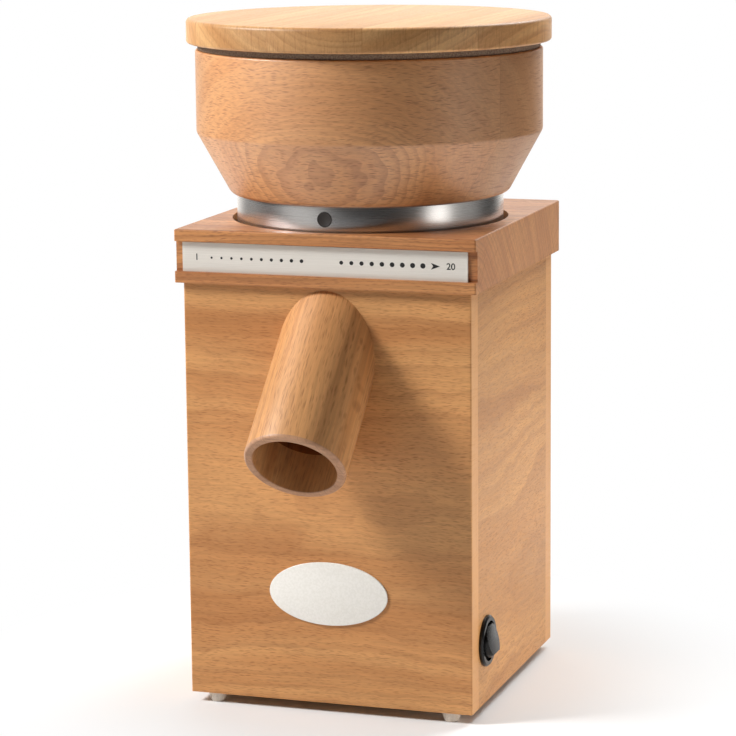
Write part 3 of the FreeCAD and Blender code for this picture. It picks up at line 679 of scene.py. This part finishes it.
RING_METAL = metal("turned ring metal", (212, 212, 214), (224, 224, 226), lines=(0.0, 0.0, 5200.0),
                   rough=(0.24, 0.32))
PLATE_METAL = metal("scale plate metal", (222, 217, 208), (230, 225, 217), lines=(25.0, 2.0, 3800.0),
                    rough=(0.42, 0.5), metallic=0.25)
CAST_METAL = metal("cast metal", (150, 150, 152), (172, 172, 174), lines=(900.0, 900.0, 900.0),
                   rough=(0.45, 0.6), bump=0.2)
STEEL = metal("plated steel", (160, 160, 164), (182, 182, 186), lines=(600.0, 600.0, 2400.0),
              rough=(0.28, 0.4))
BRASS = metal("contact brass", (190, 150, 80), (206, 168, 96), lines=(900.0, 900.0, 900.0),
              rough=(0.3, 0.42))
COPPER = metal("winding copper", (150, 74, 40), (184, 100, 58), lines=(40.0, 40.0, 2600.0),
               rough=(0.3, 0.4), bump=0.6)
LAMINATED = metal("core laminations", (84, 84, 90), (112, 112, 118), lines=(10.0, 10.0, 1900.0),
                  rough=(0.4, 0.5), bump=0.5)

OVAL_FACE = speckled("oval plate face", (234, 231, 223), (240, 237, 230), scale=900.0, rough=(0.3, 0.38),
                     bump=0.03, coat=0.5)
BLACK_GLOSS = speckled("switch gloss black", (14, 14, 15), (19, 19, 20), scale=1200.0, rough=(0.2, 0.28),
                       bump=0.02, specular=0.25)
BLACK_MATTE = speckled("moulded black", (24, 24, 25), (33, 33, 34), scale=2400.0, rough=(0.45, 0.6),
                       bump=0.15)
DOT_BLACK = speckled("dot black", (30, 26, 24), (44, 38, 35), scale=2600.0, rough=(0.5, 0.65))
INK = speckled("scale ink", (24, 22, 22), (30, 28, 28), scale=3000.0, rough=(0.4, 0.5), bump=0.02)
SEAL = speckled("seal grey", (112, 94, 80), (146, 128, 112), rough=(0.7, 0.85), bump=0.5, specular=0.2)
BUFFER = speckled("buffer rubber", (206, 192, 176), (216, 204, 190), scale=1200.0, rough=(0.45, 0.6),
                  bump=0.1)
IVORY = speckled("ivory plastic", (224, 218, 202), (230, 225, 211), scale=1800.0, rough=(0.35, 0.5),
                 bump=0.05)
STONE = speckled("millstone", (176, 170, 160), (206, 201, 192), scale=900.0, rough=(0.7, 0.9), bump=0.6,
                 specular=0.2)
FELT = speckled("felt", (120, 112, 102), (146, 138, 128), scale=2000.0, rough=(0.85, 0.95), bump=0.8,
                specular=0.1)

# The solids that stay as they are, under the finish that each gets
FINISH = {
    PANEL_FRONT: ["front_panel", "back_panel"],
    PANEL_SIDE: ["left_panel", "right_panel"],
    CLEAT: ["front_cleat", "back_cleat"],
    BOARD: ["top_board"],
    PLYWOOD: ["base_board"],
    LID: ["lid_step"],
    PLATE_METAL: ["scale_plate"],
    CAST_METAL: ["thread_ring", "upper_end_shield", "lower_end_shield"],
    STEEL: ["base_screws", "holder_screws", "chamber_screws", "motor_screws", "tie_rods", "carrier_nut",
            "capacitor_clip", "upper_bearing", "lower_bearing", "motor_shaft"],
    BRASS: ["terminal_screws", "switch_blades"],
    COPPER: ["stator_windings"],
    LAMINATED: ["stator_core", "rotor_core"],
    BLACK_GLOSS: ["switch_body"],
    BLACK_MATTE: ["milling_chamber", "stone_carrier", "cooling_fan", "switch_clip", "cable_gland",
                  "gland_nut"],
    IVORY: ["stone_holder", "capacitor", "terminal_block"],
    STONE: ["upper_stone", "lower_stone"],
    FELT: ["shaft_seal"],
    BUFFER: ["foot_front_left", "foot_front_right", "foot_back_left", "foot_back_right"],
}
for material, names in FINISH.items():
    for name in names:
        nodes[name].data.materials.clear()
        nodes[name].data.materials.append(material)


# Pieces

def make_bowl():
    """The turned bowl, with eased edges inside and out."""
    low, high = span("hopper_bowl")
    foot, throat, wall = 68.6, 24.0, 10.0
    shoulder_z, bottom_z, throat_z = 279.6, 290.0, 254.0
    corners = [
        (throat, low.z, 0.3),
        (foot, low.z, 4.2),
        (high.x, shoulder_z, 4.0),
        (high.x, high.z, 1.0),
        (high.x - wall, high.z, 1.0),
        (high.x - wall, bottom_z, 6.0),
        (throat, throat_z, 1.5),
    ]
    mesh = turned_mesh("bowl", rounded(corners))
    new_piece("hopper_bowl_turned", mesh, "hopper", BOWL, "hopper_bowl", slot="bowl_beech")


def make_lid():
    """The flat lid, a hair smaller than its solid, with eased edges."""
    low, high = span("lid_disc")
    outer = high.x - 0.03
    corners = [(0, low.z, 0), (outer, low.z, 1.4), (outer, high.z, 1.9), (0, high.z, 0)]
    mesh = turned_mesh("lid", rounded(corners))
    new_piece("lid_turned", mesh, "lid", LID, "lid_disc", slot="lid_beech")


def make_seal():
    """The soft band between the lid and the rim of the bowl."""
    low, high = span("lid_seal")
    inner = 78.0
    corners = [(inner, low.z, 0.6), (high.x, low.z, 0.9), (high.x, high.z, 0.3), (inner, high.z, 0.3)]
    mesh = turned_mesh("seal", rounded(corners))
    new_piece("lid_seal_band", mesh, "lid", SEAL, "lid_seal", slot="seal_grey")


def make_ring():
    """The satin ring under the bowl, with its web and a finely eased edge."""
    low, high = span("index_ring")
    wall, web, eye = 3.0, 2.5, 26.0
    corners = [
        (eye, high.z - web, 0.2),
        (high.x - wall, high.z - web, 0.4),
        (high.x - wall, low.z, 0.3),
        (high.x, low.z, 0.7),
        (high.x, high.z, 0.5),
        (eye, high.z, 0.2),
    ]
    mesh = turned_mesh("ring", rounded(corners, steps=4))
    new_piece("index_ring_turned", mesh, "hopper", RING_METAL, "index_ring", slot="ring_aluminium")


def make_dot():
    """The round dot let into the ring, with a low rim."""
    ring_radius = span("index_ring")[1].x
    radius, rim, rim_width, face = 3.75, 0.35, 0.7, 0.05
    height, turn = 242.6, math.radians(-91.1)
    corners = [(0, 0, 0), (radius, 0, 0), (radius, rim, 0.3), (radius - rim_width, face, 0), (0, face, 0)]
    mesh = turned_mesh("dot", rounded(corners, steps=3), segments=48)
    out = Vector((math.cos(turn), math.sin(turn), 0))
    place = Matrix.Translation(out * ring_radius * MM + Vector((0, 0, height * MM)))
    facing = out.to_track_quat("Z", "Y").to_matrix().to_4x4()
    new_piece("index_dot_plug", mesh, "hopper", DOT_BLACK, "index_dot", slot="dot_black",
              matrix=place @ facing)


def make_spout():
    """The slanted wooden tube: a round mouth with an eased lip, and a back end that lies on the panel.

    It is drawn as lines of (radius, depth from the mouth) round its axis. The deep part of the bore has
    darker wood, painted shade for the inside of the tube; its front half is finished like the outside,
    and the lip is paler.
    """
    fall = math.radians(SPOUT_FALL)
    mouth = Vector((0, -116.5, 132.5))
    panel_y = -70.0
    outer, bore, throat = 24.6, 20.4, 17.0
    bore_depth, lip_depth = 44.0, 14.0
    bore_round, outer_round = 0.6, 1.5
    throat_step, bore_step = 0.01, 0.02
    segments = 128
    rise = Vector((0, -math.sin(fall), math.cos(fall)))
    inward = Vector((0, math.cos(fall), math.sin(fall)))
    lip = rounded([(bore, lip_depth, 0), (bore, 0, bore_round), (outer, 0, outer_round),
                   (outer, lip_depth, 0)], steps=6)[1:-1]

    def end(side, r):
        """The depth at which a line along the tube, on one side and at one radius, meets the panel."""
        return (panel_y - mouth.y - side.y * r) / inward.y

    mesh = bmesh.new()
    columns = []
    for turn in turns_round(segments):
        side = Vector((math.cos(turn), 0, 0)) + rise * math.sin(turn)
        shelf = min(bore_depth, end(side, bore) - bore_step)
        line = [(throat, end(side, throat)), (throat, min(bore_depth, end(side, throat) - throat_step))]
        line += [(bore, shelf), (bore, shelf / 2)]
        line += [(r / MM, t / MM) for r, t in lip]
        line += [(outer, end(side, outer) * share) for share in (0.3, 0.6, 1.0)]
        columns.append([mesh.verts.new((mouth + side * r + inward * t) * MM) for r, t in line])
    # Rows 0 to 2 are the throat, its shelf and the deep bore, row 3 is the bore's front half, then the lip
    bore_front = 3
    # The throat, its shelf and the deep bore get slot 1, the bore's painted shade
    for row, face in wrap(mesh, columns):
        if row < bore_front:
            face.material_index = 1
        elif bore_front < row < bore_front + len(lip):
            face.material_index = 2
    tube = new_piece("spout_tube", finished(mesh, "spout"), "case", SPOUT, "spout", slot="spout_beech")
    # Slot 1 is the darker wood of painted shade in the deep bore, slot 2 the lip
    tube.data.materials.append(SPOUT_BORE_PAINTED_SHADE)
    tube.data.materials.append(SPOUT_LIP)


def make_sleeve():
    """The sleeve's male thread: one ridge that winds up at the pitch of the hopper's rise."""
    low, high = span("threaded_sleeve")
    inner, pitch, depth, run_out = 46.55, 4.0, 1.1, 1.2
    level_step, segments = 0.5, 144
    # Across a pitch the ridge's height rises from 0 to 1, stays there and falls again
    crest, flank = 2.5, 6
    levels = int((high.z - low.z) / level_step)
    mesh = bmesh.new()
    columns = []
    for i, turn in enumerate(turns_round(segments)):
        line = [(inner, high.z), (inner, low.z)]
        for level in range(levels + 1):
            z = low.z + (high.z - low.z) * level / levels
            phase = (z / pitch - i / segments) % 1.0
            ridge = min(max(crest - abs(phase - 0.5) * flank, 0.0), 1.0)
            if min(z - low.z, high.z - z) < run_out:
                ridge = 0.0
            line.append((high.x - depth * (1 - ridge), z))
        way = Vector((math.cos(turn), math.sin(turn), 0))
        columns.append([mesh.verts.new((way * r + Vector((0, 0, z))) * MM) for r, z in line])
    wrap(mesh, columns)
    new_piece("sleeve_thread", finished(mesh, "sleeve"), "sleeve", CAST_METAL, "threaded_sleeve",
              slot="thread_aluminium", sharp=25.0)


def make_rocker():
    """The round rocker: a flat-topped block cut to a disc, with eased edges. Its lower half is proud."""
    pivot = Vector((72.1, -46.0, 36.0))
    radius, tilt, eased = 8.7, 15.0, 0.45
    flat, rise = 6.9, 4.2
    shoulder_in, shoulder_drop = 0.9, 2.0
    waist_out, waist_z = 0.3, 1.0
    skirt_in, skirt_z = 1.1, -3.6
    block_half, disc_depth = 10.0, 30.0
    # Half of the side view, from the flat top out to the waist and in again to the skirt
    half = [(flat, rise), (radius - shoulder_in, rise - shoulder_drop), (radius + waist_out, waist_z),
            (radius - skirt_in, skirt_z)]
    profile = [(-x, z) for x, z in half] + half[::-1]
    mesh = bmesh.new()
    thicken(mesh, in_metres(profile), -block_half * MM, 2 * block_half * MM)
    block = add_object("rocker block", finished(mesh, "rocker block"))
    mesh = bmesh.new()
    bmesh.ops.create_cone(mesh, cap_ends=True, segments=96, radius1=radius * MM, radius2=radius * MM,
                          depth=disc_depth * MM)
    disc = add_object("rocker disc", finished(mesh, "rocker disc"))
    cut = block.modifiers.new("round", "BOOLEAN")
    cut.operation = "INTERSECT"
    cut.object = disc
    ease = block.modifiers.new("ease", "BEVEL")
    ease.width = eased * MM
    ease.segments = 3
    ease.limit_method = "ANGLE"
    ease.angle_limit = math.radians(25)
    bpy.context.view_layer.update()
    made = bpy.data.meshes.new_from_object(block.evaluated_get(bpy.context.evaluated_depsgraph_get()))
    for obj in (block, disc):
        bpy.data.objects.remove(obj)
    outward = Matrix.Rotation(math.pi / 2, 4, "Y")
    tipped = Matrix.Rotation(math.radians(-tilt), 4, "Y")
    made.transform(Matrix.Translation(pivot * MM) @ outward @ tipped)
    new_piece("switch_rocker_eased", made, "rocker", BLACK_GLOSS, "switch_rocker", slot="switch_black")


def make_oval():
    """The bare oval plate, with a softened rim."""
    low, high = span("oval_plate")
    half_x, half_z = (high.x - low.x) / 2 * MM, (high.z - low.z) / 2 * MM
    rim_bevel, segments = 0.22, 128
    outline = [(half_x * math.cos(turn), half_z * math.sin(turn)) for turn in turns_round(segments)]
    mesh = bmesh.new()
    front = thicken(mesh, outline, 0, (low.y - high.y) * MM)
    rim = [edge for edge in mesh.edges if all(v in front for v in edge.verts)]
    bmesh.ops.bevel(mesh, geom=rim, offset=rim_bevel * MM, segments=3, profile=0.5, affect="EDGES")
    made = finished(mesh, "oval")
    made.transform(Matrix.Translation(Vector((0, high.y, (low.z + high.z) / 2)) * MM))
    new_piece("oval_plate_face", made, "case", OVAL_FACE, "oval_plate", slot="oval_enamel")


SCALE_Z = 223.0
MARK_DEPTH = 0.06
UPRIGHT = Matrix.Rotation(math.pi / 2, 4, "X")


def make_scale_marks():
    """Growing dots and an arrow head on the long plate."""
    face_y = span("scale_plate")[0].y
    left_start, left_pitch, left_count = -57.2, 5.1, 10
    right_start, right_pitch, right_count = 8.7, 5.07, 9
    smallest, growth = 0.55, 0.72
    places = [left_start + left_pitch * i for i in range(left_count)]
    places += [right_start + right_pitch * i for i in range(right_count)]
    mesh = bmesh.new()
    for i, x in enumerate(places):
        radius = (smallest + growth * i / (len(places) - 1)) * MM
        place = Matrix.Translation(Vector((x, face_y, SCALE_Z)) * MM) @ UPRIGHT
        bmesh.ops.create_cone(mesh, cap_ends=True, segments=28, radius1=radius, radius2=radius,
                              depth=MARK_DEPTH * MM, matrix=place)
    tip, notch, back, half = 57.7, 54.3, 53.2, 1.6
    arrow = [(tip, SCALE_Z), (back, SCALE_Z + half), (notch, SCALE_Z), (back, SCALE_Z - half)]
    thicken(mesh, in_metres(arrow), (face_y - MARK_DEPTH / 2) * MM, MARK_DEPTH * MM)
    new_piece("scale_marks", finished(mesh, "scale marks"), "case", INK, slot="plate_aluminium")


def make_scale_number(text, x):
    """A plain number on the long plate."""
    height, boldness = 4.4, 0.06
    curve = bpy.data.curves.new(f"number {text}", "FONT")
    curve.body = text
    curve.size = height * MM
    curve.extrude = MARK_DEPTH / 2 * MM
    curve.offset = boldness * MM
    curve.align_x = "CENTER"
    curve.align_y = "CENTER"
    obj = add_object("number", curve)
    bpy.context.view_layer.update()
    flat = bpy.data.meshes.new_from_object(obj)
    bpy.data.objects.remove(obj)
    place = Vector((x, span("scale_plate")[0].y, SCALE_Z)) * MM
    flat.transform(Matrix.Translation(place) @ UPRIGHT)
    new_piece(f"scale_number_{text}", flat, "case", INK, slot="plate_aluminium")


make_bowl()
make_lid()
make_seal()
make_ring()
make_dot()
make_spout()
make_sleeve()
make_rocker()
make_oval()
make_scale_marks()
make_scale_number("1", x=-64.8)
make_scale_number("20", x=63.0)
